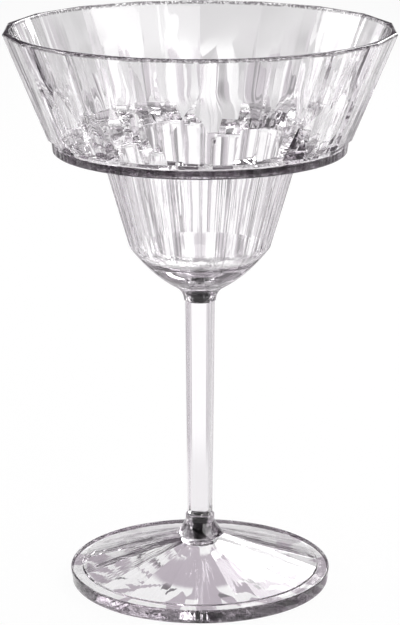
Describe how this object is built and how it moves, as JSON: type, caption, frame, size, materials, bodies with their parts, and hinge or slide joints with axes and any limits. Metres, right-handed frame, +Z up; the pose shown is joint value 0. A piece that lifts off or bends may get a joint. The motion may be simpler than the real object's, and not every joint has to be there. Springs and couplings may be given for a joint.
{
  "type": "margarita glass",
  "caption": "Stemmed margarita glass with a wide stepped bowl, narrow lower cup, square stem and broad sloping foot, in clear faceted plastic.",
  "frame": {"origin": "centre of the standing face under the foot", "axes": "+Z up along the axis of the glass; -Y is the side that the picture shows, with one facet corner at its middle"},
  "size_m": [0.113, 0.1148, 0.169],
  "materials": {
    "clear_bowl": "polished clear acrylic with a faint lilac-grey tint, flat facets and a round band outside and smooth inside",
    "clear_stem": "polished clear acrylic bar with rounded corners",
    "clear_foot": "polished clear acrylic with a faint lilac-grey tint, smooth above and faceted below",
    "adhesive": "clear cured adhesive film"
  },
  "bodies": {
    "root": {"bowl": "clear_bowl", "stem": "clear_stem", "foot": "clear_foot", "upper_bond": "adhesive", "lower_bond": "adhesive"}
  },
  "joints": []
}
